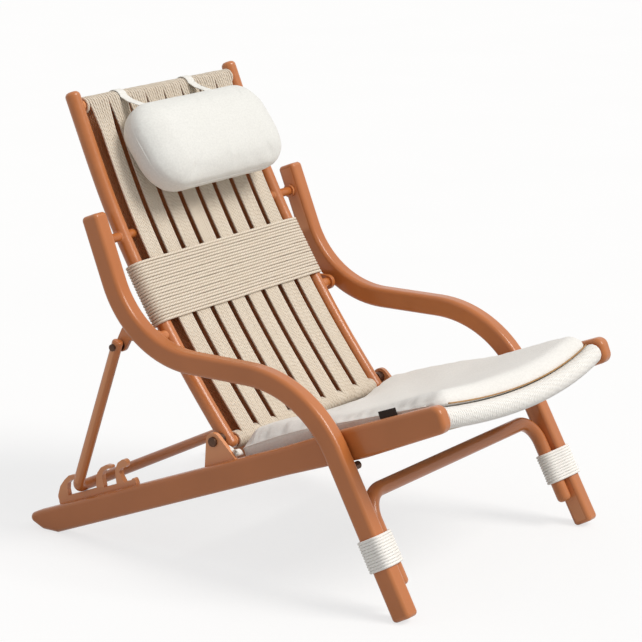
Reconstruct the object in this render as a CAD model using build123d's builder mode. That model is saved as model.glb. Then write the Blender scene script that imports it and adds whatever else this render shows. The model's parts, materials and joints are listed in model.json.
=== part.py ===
import os
from math import cos, hypot, radians, sin, tan
from build123d import *

os.makedirs("parts", exist_ok=True)

# All lengths are millimetres. +Z is up, the sitter faces -Y and the sitter's left is +X.

# Clearances shared by all pieces
slip = 0.05
rope_gap = 0.3
overrun = 40.0

# Side rails, laid out along their own slope from the rear floor contact
rail_slope = 21.3
contact_y = 425.0
rail_x = 296.0
rail_thickness = 30.0
rail_height = 52.0
rail_length = 974.0
rail_swell = 4.0
rail_swell_start_from_nose = 374.0
rail_swell_end_from_nose = 244.0
rail_belly = 4.0
rail_belly_from_nose = 189.0
rail_nose_lift = 5.0
rail_foot_length = 38.0
rail_tip_y = 509.2
rail_tip_z = 20.0
rail_tail_lead = 33.0
rail_tip_radius = 11.0
rail_tail_radius = 16.0
rail_nose_radius = 18.0
rail_bend_radius = 300.0
rail_edge_radius = 9.0

# Arm and leg bars, one bent bar on each side
arm_x = 331.0
arm_pivot_y = -256.0
arm_toe_in = 1.07
arm_width = 35.0
arm_depth = 41.0
arm_edge_radius = 9.0
arm_foot_y = -416.0
arm_foot_z = 6.0
arm_knee_y = -199.5
arm_level_z = 406.5
arm_elbow_y = 204.5
arm_top_y = 303.5
arm_top_z = 661.0
arm_knee_radius = 225.0
arm_elbow_radius = 202.0
arm_end_radius = 8.0

# Back stiles, from the lower end up
stile_x = 250.0
stile_diameter = 30.0
stile_foot_y = 31.0
stile_foot_z = 229.0
stile_run = 379.0
stile_rise = 647.0
stile_end_radius = 9.0
stile_line_shares = [
    (0.000, 0.000), (0.245, 0.184), (0.610, 0.510), (0.765, 0.680), (0.871, 0.819), (1.000, 1.000),
]
hinge_share = 0.030
lower_bar_share = 0.016
bracket_share = 0.311
band_low_share = 0.339
band_high_share = 0.507
arm_pin_share = 0.587
pillow_share = 0.771
top_bar_share = 0.957

# Cross bars and rope layers
bar_diameter = 22.0
rope_thickness = 6.0
strap_width = 41.0
strap_side_gap = 16.4
strap_count = 8

# Front seat bar, bowed forwards and down between the rails, and the rear one
front_bar_from_nose = 24.0
front_bar_up = 29.6
front_bar_bow_out = 16.0
front_bar_bow_down = 25.0
front_bar_diameter = 28.0
rear_bar_along = 480.0
rear_bar_up = 23.0
rear_bar_bow_down = 25.0

# Notched plates on the rails: discs along each finger as shares of the plate's length and height
plate_x = 287.0
plate_thickness = 11.0
plate_along = 15.0
plate_length = 212.0
plate_height = 54.5
seat_one_along = 86.0
plate_floor_shares = [(0.052, 0.055, 0.187), (0.561, 0.055, 0.187)]
plate_front_shares = [(0.561, 0.055, 0.141), (0.962, 0.055, 0.141), (0.974, 0.165, 0.084)]
plate_finger_shares = [
    [(0.075, 0.220, 0.257), (0.108, 0.514, 0.174), (0.160, 0.734, 0.095), (0.222, 0.844, 0.088),
     (0.283, 0.835, 0.083)],
    [(0.561, 0.294, 0.183), (0.577, 0.550, 0.143), (0.599, 0.697, 0.110), (0.646, 0.837, 0.084),
     (0.708, 0.888, 0.070), (0.750, 0.844, 0.064)],
    [(0.811, 0.183, 0.183), (0.811, 0.440, 0.128), (0.817, 0.642, 0.088), (0.868, 0.826, 0.110),
     (0.922, 0.844, 0.147)],
]

# Prop frame behind the back
prop_x = 305.0
prop_diameter = 22.0
prop_pivot_y = 266.0
prop_pivot_z = 405.0
prop_bend_radius = 16.0
prop_top_overhang = 13.0
prop_end_radius = 5.0

# Prop brackets and their pivot bolts
bracket_thickness = 10.0
bracket_elbow_y = 252.0
bracket_elbow_z = 431.0
bracket_pivot_radius = 13.0
bracket_elbow_radius = 13.5
bracket_root_radius = 15.0
bracket_boss_radius = 10.0
washer_thickness = 1.5
washer_radius = 10.0
bolt_radius = 4.0
bolt_head_radius = 7.0
bolt_head_height = 4.5
nut_width = 13.0
nut_height = 5.0

# Back hinge ears on the rails and their bolts
ear_x = 286.5
ear_thickness = 9.0
ear_radius = 17.0
ear_base_length = 60.0
ear_sink = 10.0
hinge_bolt_radius = 6.0
hinge_bolt_depth = 24.0
hinge_head_radius = 9.5
hinge_head_height = 5.0
hinge_spacer_radius = 11.0

# Pins between the arms and the stiles
arm_pin_radius = 9.0
arm_pin_tail_radius = 6.0
arm_pin_tail = 12.0
arm_pin_stub = 20.0
arm_flange_radius = 13.0
arm_flange_height = 5.0
pin_edge = 1.5

# Pegs that carry the rails on the legs
peg_radius = 7.5
peg_along = 757.0
peg_clearance = 1.5
peg_tail = 10.0
peg_tail_radius = 5.0
peg_reach = 20.0

# Front stretcher and its lashings
stretcher_x = 299.5
stretcher_diameter = 28.0
stretcher_offset = 4.0
stretcher_up_the_leg = 233.0
stretcher_low_end = 56.0
stretcher_bend_radius = 50.0
stretcher_end_radius = 9.0
lashing_low = 98.0
lashing_length = 61.0
lashing_gap = 0.6

# Seat cushion
cushion_side_gap = 7.0
cushion_rear_along = 470.0
cushion_high_along = 650.0
cushion_step_along = 745.0
cushion_front_from_nose = 17.0
cushion_rear_up = 43.0
cushion_front_up = 51.0
cushion_rear_top = 88.0
cushion_high_top = 92.0
cushion_step_top = 80.0
cushion_front_top = 73.0
cushion_crown = 5.0
cushion_rear_crown = 12.0
cushion_corner = 8.0
cushion_top_bend = 150.0
label_from_nose = 134.0
label_up = 61.0
label_length = 40.0
label_height = 16.0
label_thickness = 1.2
tie_inset = 4.0
tie_up = 64.0
tie_length = 34.0
tie_thickness = 6.0
tie_height = 20.0
tie_corner_radius = 6.6
tie_edge_radius = 2.0

# Head pillow and its two loops
pillow_x = 7.0
pillow_width = 394.0
pillow_height = 190.0
pillow_thickness = 80.0
pillow_tilt = 54.0
pillow_gap = 16.6
pillow_corner = 67.0
pillow_edge_radius = 34.0
loop_shift = -25.0
loop_spacing = 217.0
loop_width = 24.0
loop_thickness = 2.5
loop_tail = 60.0
loop_head = 54.0


# Placing helpers


def side(x):
    """A plane at x whose own axes are +Y and +Z."""
    return Plane(origin=(x, 0, 0), x_dir=(0, 1, 0), z_dir=(1, 0, 0))


def on_rail(along, up):
    """The (y, z) of a point measured along the rail's slope and square to it."""
    slope = radians(rail_slope)
    y = contact_y - along * cos(slope) + up * sin(slope)
    z = along * sin(slope) + up * cos(slope)
    return (y, z)


stile_points = [
    (stile_foot_y + a * stile_run, stile_foot_z + b * stile_rise) for a, b in stile_line_shares
]
with BuildLine(side(0)) as stile_axis:
    Spline(*stile_points)


def on_stile(share, off=0):
    """The (y, z) at a share of the stile's line, moved off it towards the sitter."""
    place = stile_axis.line @ share
    way = stile_axis.line % share
    return (place.Y - off * way.Z, place.Z + off * way.Y)


def at_rise(rise_share):
    """The share of the stile's line that reaches a share of its rise."""
    low = 0
    high = 1
    for _ in range(40):
        middle = (low + high) / 2
        if (stile_axis.line @ middle).Z < stile_foot_z + rise_share * stile_rise:
            low = middle
        else:
            high = middle
    return low


def arm_face_x(y):
    """The x of the arm's inner face at a depth y."""
    toe = radians(arm_toe_in)
    return arm_x - (y - arm_pivot_y) * tan(toe) - arm_width / 2 / cos(toe)


# Shape helpers


def rod(x_from, x_to, place, radius, mode=Mode.ADD):
    """A round rod along X between two stations."""
    with BuildSketch(side(x_from)) as end:
        with Locations(place):
            Circle(radius)
    extrude(end.sketch, amount=x_to - x_from, mode=mode)


def web(x_from, x_to, discs):
    """A plate along X whose outline wraps (place, radius) discs."""
    with BuildSketch(side(x_from)) as face:
        for place, radius in discs:
            with Locations(place):
                Circle(radius)
        make_hull()
    extrude(face.sketch, amount=x_to - x_from)


def tube_along(path, radius, mode=Mode.ADD):
    """A round bar swept along a line."""
    with BuildSketch(Plane(origin=path @ 0, z_dir=path % 0)) as end:
        Circle(radius)
    sweep(end.sketch, path=path, mode=mode)


def stile_solid(x, radius, mode=Mode.ADD):
    """The stile's line as a round bar at x."""
    with BuildLine(side(x)) as line:
        Spline(*stile_points)
    tube_along(line.line, radius, mode)


def layer_loop(x_from, low, high, off):
    """A sketch around the stretch of the stile's line between two bars, at a distance from it."""
    steps = [low + (high - low) * k / 6 for k in range(7)]
    way_low = stile_axis.line % low
    way_high = stile_axis.line % high
    low_y, low_z = on_stile(low)
    high_y, high_z = on_stile(high)
    with BuildSketch(side(x_from)) as face:
        with BuildLine():
            front = Spline(*[on_stile(s, off) for s in steps])
            back = Spline(*[on_stile(s, -off) for s in steps])
            ThreePointArc(front @ 0, (low_y - off * way_low.Y, low_z - off * way_low.Z), back @ 0)
            ThreePointArc(front @ 1, (high_y + off * way_high.Y, high_z + off * way_high.Z), back @ 1)
        make_face()
    return face.sketch


def save(builder, name):
    builder.part.label = name
    export_step(builder.part, "parts/" + name + ".step")


def save_both(builder, name):
    """Save a left piece, and its mirror image as the right one."""
    save(builder, name + "_left")
    with BuildPart() as other:
        add(builder.part)
        mirror(about=Plane.YZ, mode=Mode.REPLACE)
    save(other, name + "_right")


def add_mirror():
    """Give the piece being built its twin on the other side."""
    mirror(about=Plane.YZ)


# Places worked out from the driving sizes
rail_inner_x = rail_x - rail_thickness / 2
rail_swell_start = rail_length - rail_swell_start_from_nose
rail_swell_end = rail_length - rail_swell_end_from_nose
front_bar_along = rail_length - front_bar_from_nose
cushion_half_width = rail_inner_x - cushion_side_gap
cushion_front_along = rail_length - cushion_front_from_nose
bar_radius = bar_diameter / 2
stile_radius = stile_diameter / 2
prop_radius = prop_diameter / 2
stretcher_radius = stretcher_diameter / 2
front_bar_radius = front_bar_diameter / 2
layer_inner = bar_radius + rope_gap
layer_outer = layer_inner + rope_thickness
sleeve_inner = front_bar_radius + rope_gap
sleeve_outer = sleeve_inner + rope_thickness
hinge_at = at_rise(hinge_share)
lower_bar_at = at_rise(lower_bar_share)
bracket_at = at_rise(bracket_share)
arm_pin_at = at_rise(arm_pin_share)
top_bar_at = at_rise(top_bar_share)
hinge_place = on_stile(hinge_at)
lower_bar_place = on_stile(lower_bar_at)
bracket_place = on_stile(bracket_at)
arm_pin_place = on_stile(arm_pin_at)
top_bar_place = on_stile(top_bar_at)
prop_place = (prop_pivot_y, prop_pivot_z)
seat_floor_share = plate_floor_shares[0][1] + plate_floor_shares[0][2]
seat_floor_up = rail_height + seat_floor_share * plate_height
seat_one_place = on_rail(seat_one_along, seat_floor_up + rope_gap + prop_radius)
peg_place = on_rail(peg_along, -rail_belly - peg_clearance - peg_radius)
last_strap_x = stile_x - stile_radius - strap_side_gap - strap_width / 2
strap_pitch = 2 * last_strap_x / (strap_count - 1)
strap_stations = [(k - (strap_count - 1) / 2) * strap_pitch for k in range(strap_count)]

# Side rails, each corner of the outline with the radius that rounds it
rail_heel = on_rail(0, 0)
rail_corners = [
    ((contact_y + rail_foot_length, 0), rail_tail_radius),
    ((rail_tip_y, rail_tip_z), rail_tip_radius),
    (on_rail(-rail_tail_lead, rail_height), rail_tail_radius),
    (on_rail(rail_swell_start, rail_height), rail_bend_radius),
    (on_rail(rail_swell_end, rail_height + rail_swell), rail_bend_radius),
    (on_rail(rail_length, rail_height + rail_swell), rail_nose_radius),
    (on_rail(rail_length, rail_nose_lift), rail_nose_radius),
    (on_rail(rail_length - rail_belly_from_nose, -rail_belly), rail_bend_radius),
    (on_rail(rail_swell_start, 0), rail_bend_radius),
]


def rail_face(x):
    with BuildSketch(side(x)) as face:
        with BuildLine():
            Polyline(rail_heel, *[corner for corner, _ in rail_corners], close=True)
        make_face()
        for corner, radius in rail_corners:
            fillet(face.vertices().sort_by_distance(corner)[0], radius)
    return face.sketch


with BuildPart() as rail:
    extrude(rail_face(rail_inner_x), amount=rail_thickness)
    ends = rail.faces().filter_by(Axis.X).edges()
    fillet(ends, rail_edge_radius)
save_both(rail, "side_rail")

# Arm and leg bars
toe = radians(arm_toe_in)
arm_plane = Plane(
    origin=(arm_x, arm_pivot_y, 0), x_dir=(-sin(toe), cos(toe), 0), z_dir=(cos(toe), sin(toe), 0)
)
with BuildLine(arm_plane) as arm_line:
    FilletPolyline(
        (arm_foot_y - arm_pivot_y, arm_foot_z),
        (arm_knee_y - arm_pivot_y, arm_level_z),
        (arm_elbow_y - arm_pivot_y, arm_level_z),
        (arm_top_y - arm_pivot_y, arm_top_z),
        radius=[arm_knee_radius, arm_elbow_radius],
    )
arm_path = arm_line.line
with BuildPart() as arm:
    with BuildSketch(Plane(origin=arm_path @ 0, x_dir=arm_plane.z_dir, z_dir=arm_path % 0)):
        RectangleRounded(arm_width, arm_depth, arm_edge_radius)
    sweep(path=arm_path)
    caps = arm.faces().filter_by(GeomType.PLANE)
    cap_low = caps.sort_by_distance(arm_path @ 0)[0]
    cap_high = caps.sort_by_distance(arm_path @ 1)[0]
    fillet(cap_low.edges() + cap_high.edges(), arm_end_radius)
    split(bisect_by=Plane.XY, keep=Keep.TOP)
    pin_face = arm_face_x(arm_pin_place[0])
    rod(pin_face - overrun, pin_face + arm_pin_tail + slip, arm_pin_place,
        arm_pin_tail_radius + slip, Mode.SUBTRACT)
    peg_face = arm_face_x(peg_place[0])
    rod(peg_face - overrun, peg_face + peg_tail + slip, peg_place,
        peg_tail_radius + slip, Mode.SUBTRACT)
save_both(arm, "arm_and_leg")

# Leg frame directions, used by the stretcher and the lashings
leg_run = arm_knee_y - arm_foot_y
leg_rise = arm_level_z - arm_foot_z
leg_y = leg_run / hypot(leg_run, leg_rise)
leg_z = leg_rise / hypot(leg_run, leg_rise)
leg_plane = Plane(origin=(0, arm_foot_y, arm_foot_z), x_dir=(1, 0, 0), z_dir=(0, -leg_z, leg_y))
stretcher_plane = leg_plane.offset(-stretcher_offset)

# Front stretcher
with BuildLine(stretcher_plane) as stretcher_line:
    FilletPolyline(
        (-stretcher_x, stretcher_low_end),
        (-stretcher_x, stretcher_up_the_leg),
        (stretcher_x, stretcher_up_the_leg),
        (stretcher_x, stretcher_low_end),
        radius=stretcher_bend_radius,
    )
with BuildPart() as stretcher:
    tube_along(stretcher_line.line, stretcher_radius)
    fillet(stretcher.faces().filter_by(GeomType.PLANE).edges(), stretcher_end_radius)
save(stretcher, "front_stretcher")

# Rope lashings that bind the stretcher to the legs
lashing_y = arm_foot_y + (lashing_low + lashing_length / 2) * leg_y
lashing_arm_x = arm_face_x(lashing_y) + arm_width / 2


def lashing_face(gap):
    """The outline that wraps the leg and the stretcher's tube, a gap away from both."""
    place = Plane(
        origin=(0, arm_foot_y + lashing_low * leg_y, arm_foot_z + lashing_low * leg_z),
        x_dir=(1, 0, 0), z_dir=(0, leg_y, leg_z),
    )
    with BuildSketch(place) as face:
        with Locations((lashing_arm_x, 0)):
            RectangleRounded(arm_width + 2 * gap, arm_depth + 2 * gap, arm_edge_radius + gap)
        with Locations((stretcher_x, stretcher_offset)):
            Circle(stretcher_radius + gap)
        make_hull()
    return face.sketch


with BuildPart() as lashing:
    extrude(lashing_face(lashing_gap + rope_thickness), amount=lashing_length)
    extrude(lashing_face(lashing_gap), amount=lashing_length, mode=Mode.SUBTRACT)
save_both(lashing, "leg_lashing")

# Pegs that carry the rails on the legs
with BuildPart() as peg:
    shoulder = peg_face - peg_radius * tan(toe) - slip
    rod(shoulder - peg_reach, shoulder, peg_place, peg_radius)
    fillet(peg.faces().sort_by(Axis.X)[0].edges(), pin_edge)
    rod(shoulder, peg_face + peg_tail, peg_place, peg_tail_radius)
save_both(peg, "rail_support_peg")

# Back stiles, with holes for the hinge bolt and the arm pin
with BuildPart() as stile:
    stile_solid(stile_x, stile_radius)
    fillet(stile.faces().filter_by(GeomType.PLANE).edges(), stile_end_radius)
    rod(stile_x - overrun, stile_x + overrun, arm_pin_place, arm_pin_radius + slip, Mode.SUBTRACT)
    bolt_end_x = stile_x + stile_radius - hinge_bolt_depth
    rod(bolt_end_x - slip, stile_x + overrun, hinge_place, hinge_bolt_radius + slip, Mode.SUBTRACT)
save_both(stile, "back_stile")

# Bars between the stiles, coped to their round sides
for bar_name, bar_place in (("back_top_bar", top_bar_place), ("back_lower_bar", lower_bar_place)):
    with BuildPart() as bar:
        rod(0, stile_x, bar_place, bar_radius)
        stile_solid(stile_x, stile_radius + slip, Mode.SUBTRACT)
        keep_x = Plane(origin=(stile_x, 0, 0), z_dir=(1, 0, 0))
        split(bisect_by=keep_x, keep=Keep.BOTTOM)
        add_mirror()
    save(bar, bar_name)

# Back straps, each a flat loop of rope round the lower and the top bar
for number, station in enumerate(strap_stations, start=1):
    with BuildPart() as strap:
        left_edge = station - strap_width / 2
        extrude(layer_loop(left_edge, lower_bar_at, top_bar_at, layer_outer), amount=strap_width)
        extrude(layer_loop(left_edge, lower_bar_at, top_bar_at, layer_inner), amount=strap_width,
                mode=Mode.SUBTRACT)
    save(strap, f"back_strap_{number}")

# Rope turns that fill the top bar between the straps
filler_half = (strap_pitch - strap_width) / 2 - rope_gap
top_rope_end = stile_x - stile_radius - rope_gap
last_strap_edge = strap_stations[-1] + strap_width / 2 + rope_gap
with BuildPart() as top_rope:
    for station in strap_stations[:-1]:
        middle = station + strap_pitch / 2
        rod(middle - filler_half, middle + filler_half, top_bar_place, layer_outer)
    rod(last_strap_edge, top_rope_end, top_bar_place, layer_outer)
    rod(-top_rope_end, -last_strap_edge, top_bar_place, layer_outer)
    rod(-stile_x, stile_x, top_bar_place, layer_inner, Mode.SUBTRACT)
save(top_rope, "top_bar_rope")

# Rope band round both stiles, over the straps
band_low_at = at_rise(band_low_share)
band_high_at = at_rise(band_high_share)
with BuildLine(side(0)) as band_line:
    Spline(*[on_stile(band_low_at + (band_high_at - band_low_at) * k / 4) for k in range(5)])
with BuildPart() as band:
    with BuildSketch(Plane(origin=band_line.line @ 0, x_dir=(1, 0, 0), z_dir=band_line.line % 0)):
        with Locations((-stile_x, 0), (stile_x, 0)):
            Circle(stile_radius + rope_gap + rope_thickness)
        Rectangle(2 * last_strap_edge, 2 * (layer_outer + rope_gap + rope_thickness))
        make_hull()
    sweep(path=band_line.line)
    with BuildSketch(Plane(origin=band_line.line @ 0, x_dir=(1, 0, 0), z_dir=band_line.line % 0)):
        with Locations((-stile_x, 0), (stile_x, 0)):
            Circle(stile_radius + rope_gap)
        Rectangle(2 * last_strap_edge, 2 * (layer_outer + rope_gap))
        make_hull()
    sweep(path=band_line.line, mode=Mode.SUBTRACT)
save(band, "back_rope_band")

# Front seat bar and its rope sleeve
bow_end = on_rail(front_bar_along, front_bar_up)
bow_middle = on_rail(front_bar_along + front_bar_bow_out, front_bar_up - front_bar_bow_down)
bow_reach = rail_inner_x + rail_edge_radius
with BuildLine() as bow:
    ThreePointArc((-rail_inner_x, *bow_end), (0, *bow_middle), (rail_inner_x, *bow_end))
bow_stretch = bow_reach / rail_inner_x
bow_end_far = (
    bow_middle[0] + (bow_end[0] - bow_middle[0]) * bow_stretch ** 2,
    bow_middle[1] + (bow_end[1] - bow_middle[1]) * bow_stretch ** 2,
)
with BuildLine() as bow_long:
    ThreePointArc((-bow_reach, *bow_end_far), (0, *bow_middle), (bow_reach, *bow_end_far))


def trim_between_rails(gap):
    """Cut the piece being built at the rails' inner faces."""
    face_x = rail_inner_x - gap
    split(bisect_by=Plane(origin=(face_x, 0, 0), z_dir=(1, 0, 0)), keep=Keep.BOTTOM)
    split(bisect_by=Plane(origin=(-face_x, 0, 0), z_dir=(1, 0, 0)), keep=Keep.TOP)


with BuildPart() as front_bar:
    tube_along(bow_long.line, front_bar_radius)
    trim_between_rails(0)
save(front_bar, "front_seat_bar")

with BuildPart() as front_sleeve:
    tube_along(bow_long.line, sleeve_outer)
    tube_along(bow_long.line, sleeve_inner, Mode.SUBTRACT)
    trim_between_rails(rope_gap)
save(front_sleeve, "front_bar_rope")

# Rear seat bar, bowed down like the front one
rear_end = on_rail(rear_bar_along, rear_bar_up)
rear_middle = on_rail(rear_bar_along, rear_bar_up - rear_bar_bow_down)
rear_end_far = (
    rear_middle[0] + (rear_end[0] - rear_middle[0]) * bow_stretch ** 2,
    rear_middle[1] + (rear_end[1] - rear_middle[1]) * bow_stretch ** 2,
)
with BuildLine() as rear_bow:
    ThreePointArc((-bow_reach, *rear_end_far), (0, *rear_middle), (bow_reach, *rear_end_far))
with BuildPart() as rear_bar:
    tube_along(rear_bow.line, bar_radius)
    trim_between_rails(0)
save(rear_bar, "rear_seat_bar")

# Seat straps from the rear bar to the front sleeve
for number, station in enumerate(strap_stations, start=1):
    bow_share = (station / rail_inner_x) ** 2
    near_front = on_rail(
        front_bar_along + front_bar_bow_out * (1 - bow_share) - rope_thickness,
        front_bar_up - front_bar_bow_down * (1 - bow_share),
    )
    near_rear = on_rail(rear_bar_along, rear_bar_up - rear_bar_bow_down * (1 - bow_share))
    with BuildPart() as seat_strap:
        for radius, how in ((layer_outer, Mode.ADD), (layer_inner, Mode.SUBTRACT)):
            with BuildSketch(side(station - strap_width / 2)) as loop_sketch:
                with Locations(near_rear, near_front):
                    Circle(radius)
                make_hull()
            extrude(loop_sketch.sketch, amount=strap_width, mode=how)
        tube_along(bow_long.line, sleeve_outer + rope_gap, Mode.SUBTRACT)
        tube_along(rear_bow.line, bar_radius + slip, Mode.SUBTRACT)
    save(seat_strap, f"seat_strap_{number}")

# Notched plates that stand on the rails


def plate_disc(shares):
    along_share, up_share, radius_share = shares
    place = on_rail(plate_along + along_share * plate_length, rail_height + up_share * plate_height)
    return (place, radius_share * plate_height)


with BuildPart() as plate:
    plate_inner = plate_x - plate_thickness / 2
    plate_outer = plate_x + plate_thickness / 2
    for chain in [plate_floor_shares, plate_front_shares] + plate_finger_shares:
        for first, second in zip(chain[:-1], chain[1:]):
            web(plate_inner, plate_outer, [plate_disc(first), plate_disc(second)])
    add(rail.part, mode=Mode.SUBTRACT)
save_both(plate, "notched_plate")

# Hinge ears on the rails
with BuildPart() as ear:
    ear_inner = ear_x - ear_thickness / 2
    ear_outer = ear_x + ear_thickness / 2
    ear_along = (contact_y - hinge_place[0]) * cos(radians(rail_slope)) + hinge_place[1] * sin(
        radians(rail_slope))
    web(ear_inner, ear_outer, [
        (hinge_place, ear_radius),
        (on_rail(ear_along - ear_base_length / 2, rail_height - ear_sink / 2), ear_sink),
        (on_rail(ear_along + ear_base_length / 2, rail_height - ear_sink / 2), ear_sink),
    ])
    rod(ear_inner - overrun, ear_outer + overrun, hinge_place, hinge_bolt_radius + slip, Mode.SUBTRACT)
    add(rail.part, mode=Mode.SUBTRACT)
save_both(ear, "back_hinge_ear")

# Hinge bolts and the spacers between ear and stile
with BuildPart() as hinge_bolt:
    rod(bolt_end_x, ear_outer, hinge_place, hinge_bolt_radius)
    rod(ear_outer, ear_outer + hinge_head_height, hinge_place, hinge_head_radius)
    fillet(hinge_bolt.faces().sort_by(Axis.X)[-1].edges(), pin_edge)
save_both(hinge_bolt, "back_hinge_bolt")

with BuildPart() as spacers:
    rod(stile_x + stile_radius + slip, ear_inner, hinge_place, hinge_spacer_radius)
    rod(stile_x, ear_inner, hinge_place, hinge_bolt_radius + slip, Mode.SUBTRACT)
    add_mirror()
save(spacers, "hinge_spacers")

# Pins that carry the arms on the stiles
with BuildPart() as arm_pin:
    flange_face = pin_face - arm_flange_radius * tan(toe) - slip
    pin_inner = stile_x - stile_radius - arm_pin_stub
    rod(pin_inner, flange_face, arm_pin_place, arm_pin_radius)
    fillet(arm_pin.faces().sort_by(Axis.X)[0].edges(), pin_edge)
    rod(flange_face - arm_flange_height, flange_face, arm_pin_place, arm_flange_radius)
    rod(flange_face, pin_face + arm_pin_tail, arm_pin_place, arm_pin_tail_radius)
save_both(arm_pin, "arm_pin")

# Prop frame, a tube bent round below the back
prop_run = prop_pivot_y - seat_one_place[0]
prop_rise = prop_pivot_z - seat_one_place[1]
prop_length = hypot(prop_run, prop_rise)
prop_plane = Plane(
    origin=(0, *seat_one_place), x_dir=(1, 0, 0),
    z_dir=(0, -prop_rise / prop_length, prop_run / prop_length),
)
with BuildLine(prop_plane) as prop_line:
    FilletPolyline(
        (-prop_x, prop_length + prop_top_overhang),
        (-prop_x, 0),
        (prop_x, 0),
        (prop_x, prop_length + prop_top_overhang),
        radius=prop_bend_radius,
    )
with BuildPart() as prop:
    tube_along(prop_line.line, prop_radius)
    fillet(prop.faces().filter_by(GeomType.PLANE).edges(), prop_end_radius)
    rod(-prop_x - overrun, prop_x + overrun, prop_place, bolt_radius + slip, Mode.SUBTRACT)
save(prop, "prop_frame")

# Brackets that carry the prop on the stiles
washer_inner = prop_x - prop_radius - slip - washer_thickness
bracket_outer = washer_inner - slip
bracket_inner = bracket_outer - bracket_thickness
with BuildPart() as bracket:
    elbow_place = (bracket_elbow_y, bracket_elbow_z)
    web(bracket_inner, bracket_outer, [(bracket_place, bracket_root_radius),
                                       (elbow_place, bracket_elbow_radius)])
    web(bracket_inner, bracket_outer, [(elbow_place, bracket_elbow_radius),
                                       (prop_place, bracket_pivot_radius)])
    fillet(bracket.faces().filter_by(Axis.X).edges(), pin_edge)
    rod(stile_x, bracket_inner, bracket_place, bracket_boss_radius)
    rod(bracket_inner - overrun, bracket_outer + overrun, prop_place, bolt_radius + slip, Mode.SUBTRACT)
    stile_solid(stile_x, stile_radius + slip, Mode.SUBTRACT)
    keep_out = Plane(origin=(stile_x, 0, 0), z_dir=(1, 0, 0))
    split(bisect_by=keep_out, keep=Keep.TOP)
save_both(bracket, "prop_bracket")

# Pivot bolts of the prop, with washers and nuts
prop_outer = prop_x + prop_radius
with BuildPart() as pivot_bolt:
    rod(bracket_inner - nut_height, prop_outer + slip, prop_place, bolt_radius)
    rod(prop_outer + slip, prop_outer + slip + bolt_head_height, prop_place, bolt_head_radius)
    fillet(pivot_bolt.faces().sort_by(Axis.X)[-1].edges(), pin_edge)
save_both(pivot_bolt, "prop_pivot_bolt")

with BuildPart() as washers:
    rod(washer_inner, washer_inner + washer_thickness, prop_place, washer_radius)
    rod(washer_inner - slip, prop_x, prop_place, bolt_radius + slip, Mode.SUBTRACT)
    add_mirror()
save(washers, "prop_pivot_washers")

with BuildPart() as nuts:
    with BuildSketch(side(bracket_inner - nut_height)) as nut_face:
        with Locations(prop_place):
            RegularPolygon(nut_width / 2, 6, major_radius=False)
            Circle(bolt_radius + slip, mode=Mode.SUBTRACT)
    extrude(amount=nut_height)
    add_mirror()
save(nuts, "prop_pivot_nuts")

# Seat cushion, sagging towards the middle of the front bar
front_middle_up = front_bar_up - front_bar_bow_down + sleeve_outer + rope_gap
cushion_sag = cushion_front_up - front_middle_up


def cushion_section(x, middle):
    """The cushion's outline at x: middle is 1 on the centre plane and 0 at the sides."""
    front = cushion_front_along + middle * front_bar_bow_out
    rear = cushion_rear_along
    sag = middle * cushion_sag
    rise = middle * cushion_crown - sag
    rear_rise = middle * cushion_rear_crown - sag
    corners = [
        (on_rail(rear, cushion_rear_up - sag), cushion_corner),
        (on_rail(front, cushion_front_up - sag), cushion_corner),
        (on_rail(front, cushion_front_top + rise), cushion_corner),
        (on_rail(cushion_step_along, cushion_step_top + rise), cushion_top_bend),
        (on_rail(cushion_high_along, cushion_high_top + rise), cushion_top_bend),
        (on_rail(rear, cushion_rear_top + rear_rise), cushion_corner),
    ]
    with BuildSketch(side(x)) as face:
        with BuildLine():
            Polyline(*[corner for corner, _ in corners], close=True)
        make_face()
        for corner, radius in corners:
            fillet(face.vertices().sort_by_distance(corner)[0], radius)
    return face.sketch


with BuildPart() as cushion:
    loft([cushion_section(-cushion_half_width, 0), cushion_section(0, 1),
          cushion_section(cushion_half_width, 0)])
save(cushion, "seat_cushion")

# Blank tag on the cushion's right side, and the ties at its rear corners
with BuildPart() as tag:
    with BuildSketch(side(-cushion_half_width - rope_gap - label_thickness)):
        with Locations(on_rail(rail_length - label_from_nose, label_up)):
            Rectangle(label_length, label_height, rotation=-rail_slope)
    extrude(amount=label_thickness)
save(tag, "cushion_tag")

with BuildPart() as ties:
    with BuildSketch(side(cushion_half_width + rope_gap)):
        with Locations(on_rail(cushion_rear_along + tie_inset, tie_up)):
            RectangleRounded(tie_length, tie_height, tie_corner_radius, rotation=-rail_slope)
    extrude(amount=tie_thickness)
    fillet(ties.faces().filter_by(Axis.X).edges(), tie_edge_radius)
    add_mirror()
save(ties, "cushion_ties")

# Head pillow and the loops that hang it on the top bar
pillow_at = at_rise(pillow_share)
pillow_way = radians(pillow_tilt)
pillow_back = on_stile(pillow_at, layer_outer + pillow_gap)
pillow_plane = Plane(
    origin=(pillow_x, *pillow_back), x_dir=(1, 0, 0), z_dir=(0, -sin(pillow_way), cos(pillow_way))
)
with BuildPart() as pillow:
    with BuildSketch(pillow_plane):
        RectangleRounded(pillow_width, pillow_height, pillow_corner)
    extrude(amount=pillow_thickness)
    fillet(pillow.faces().filter_by(Axis(pillow_plane.origin, pillow_plane.z_dir)).edges(),
           pillow_edge_radius)
save(pillow, "head_pillow")

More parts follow.
